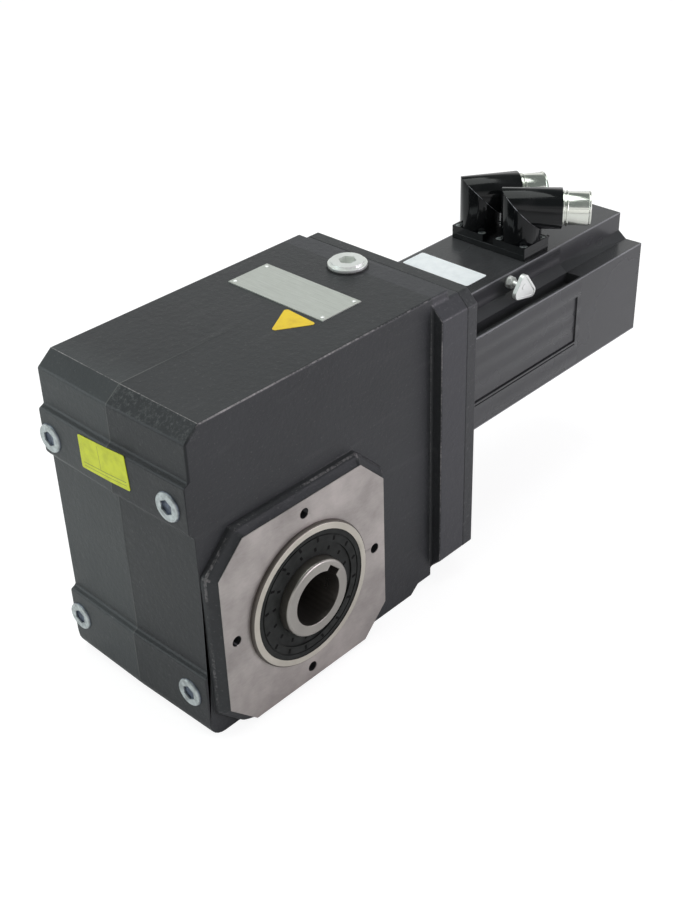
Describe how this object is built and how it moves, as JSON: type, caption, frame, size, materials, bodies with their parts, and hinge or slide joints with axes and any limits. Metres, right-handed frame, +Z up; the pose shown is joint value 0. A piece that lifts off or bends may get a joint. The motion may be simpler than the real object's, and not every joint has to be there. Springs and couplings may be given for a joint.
{
  "type": "right-angle servo gearmotor",
  "caption": "Right-angle bevel gear reducer with a keyed hollow output shaft, square output flange and a flanged servo motor with angled plug connectors.",
  "frame": {"origin": "the hollow output shaft's axis where it meets the vertical middle plane of the motor", "axes": "+X along the motor away from the gearbox, -Y out of the output flange, +Z up from the foot face to the connectors"},
  "size_m": [0.4418, 0.16, 0.2223],
  "materials": {
    "cast_paint": "satin charcoal paint on grey cast iron",
    "motor_black": "satin black coated extruded aluminium",
    "zinc": "bright zinc or nickel plated",
    "plate": "plain satin aluminium foil plate",
    "gasket": "matt",
    "seal_rubber": "matt dark grey",
    "bearing_steel": "ground",
    "shaft_steel": "turned and ground steel",
    "lamination": "stacked sheet steel",
    "magnet": "plated magnet",
    "copper": "varnished copper wire",
    "plug_black": "gloss black coated die casting",
    "insert": "moulded insert"
  },
  "bodies": {
    "housing": {"gear_housing": "cast_paint", "side_cover": "cast_paint", "side_cover_gasket": "gasket", "side_cover_screws": "zinc", "front_pad_screws": "zinc", "oil_plug": "zinc", "oil_plug_seal": "gasket", "nameplate": "plate", "output_shaft_seals": "seal_rubber", "output_bearing_outer_rings": "bearing_steel", "output_bearing_circlips": "shaft_steel", "intermediate_bearing_outer_rings": "bearing_steel", "pinion_bearing_outer_rings": "bearing_steel", "pinion_shaft_seal": "seal_rubber", "motor_adapter_plate": "cast_paint", "adapter_screws": "zinc", "motor_mount_screws": "zinc", "motor_front_shield": "motor_black", "motor_frame": "motor_black", "stator_core": "lamination", "stator_windings": "copper", "motor_rear_shield": "motor_black", "motor_bearing_outer_rings": "bearing_steel", "resolver_stator": "shaft_steel", "motor_rear_cover": "motor_black", "rear_cover_screws": "zinc", "connector_base": "plug_black", "connector_flanges": "plug_black", "connector_screws": "zinc", "earth_screw": "zinc", "earth_lug": "zinc"},
    "output_shaft": {"hollow_shaft": "shaft_steel", "output_gear": "shaft_steel", "output_bearing_inner_rings": "bearing_steel", "output_shaft_circlips": "shaft_steel"},
    "output_balls": {"output_bearing_balls": "bearing_steel"},
    "intermediate_shaft": {"intermediate_pinion_shaft": "shaft_steel", "crown_wheel": "shaft_steel", "crown_wheel_key": "shaft_steel", "intermediate_spacer": "shaft_steel", "intermediate_bearing_inner_rings": "bearing_steel"},
    "intermediate_balls": {"intermediate_bearing_balls": "bearing_steel"},
    "rotor": {"bevel_pinion_shaft": "shaft_steel", "pinion_bearing_inner_rings": "bearing_steel", "pinion_bearing_spacer": "shaft_steel", "pinion_locknut": "shaft_steel", "motor_shaft": "shaft_steel", "motor_shaft_key": "shaft_steel", "rotor_core": "lamination", "rotor_magnets": "magnet", "motor_bearing_inner_rings": "bearing_steel", "resolver_rotor": "shaft_steel"},
    "pinion_balls": {"pinion_bearing_balls": "bearing_steel"},
    "motor_balls": {"motor_bearing_balls": "bearing_steel"},
    "power_connector": {"power_elbow": "plug_black", "power_plug_shell": "zinc", "power_plug_insert": "insert"},
    "signal_connector": {"signal_elbow": "plug_black", "signal_plug_shell": "zinc", "signal_plug_insert": "insert"}
  },
  "joints": [
    {"name": "output_spin", "type": "hinge", "parent": "housing", "child": "output_shaft", "pos_m": [0, 0, 0], "axis": [0, 1, 0], "continuous": true},
    {"name": "output_balls_roll", "type": "hinge", "parent": "housing", "child": "output_balls", "pos_m": [0, 0, 0], "axis": [0, 1, 0], "continuous": true},
    {"name": "intermediate_spin", "type": "hinge", "parent": "housing", "child": "intermediate_shaft", "pos_m": [0.04525, 0, 0.056], "axis": [0, 1, 0], "continuous": true},
    {"name": "intermediate_balls_roll", "type": "hinge", "parent": "housing", "child": "intermediate_balls", "pos_m": [0.04525, 0, 0.056], "axis": [0, 1, 0], "continuous": true},
    {"name": "rotor_spin", "type": "hinge", "parent": "housing", "child": "rotor", "pos_m": [0.2, 0, 0.056], "axis": [1, 0, 0], "continuous": true},
    {"name": "pinion_balls_roll", "type": "hinge", "parent": "housing", "child": "pinion_balls", "pos_m": [0.12, 0, 0.056], "axis": [1, 0, 0], "continuous": true},
    {"name": "motor_balls_roll", "type": "hinge", "parent": "housing", "child": "motor_balls", "pos_m": [0.2, 0, 0.056], "axis": [1, 0, 0], "continuous": true},
    {"name": "power_plug_swivel", "type": "hinge", "parent": "housing", "child": "power_connector", "pos_m": [0.2675, -0.01775, 0.12], "axis": [0, 0, 1], "range_deg": [-128, 14]},
    {"name": "signal_plug_swivel", "type": "hinge", "parent": "housing", "child": "signal_connector", "pos_m": [0.2675, 0.01775, 0.12], "axis": [0, 0, 1], "range_deg": [0, 200]}
  ],
  "couplings": [
    {"joint": "output_balls_roll", "follows": "output_spin", "ratio": 0.43538},
    {"joint": "intermediate_spin", "follows": "output_spin", "ratio": -3.8},
    {"joint": "intermediate_balls_roll", "follows": "output_spin", "ratio": -1.5225},
    {"joint": "rotor_spin", "follows": "output_spin", "ratio": 12.091},
    {"joint": "pinion_balls_roll", "follows": "output_spin", "ratio": 4.8583},
    {"joint": "motor_balls_roll", "follows": "output_spin", "ratio": 4.8442}
  ]
}
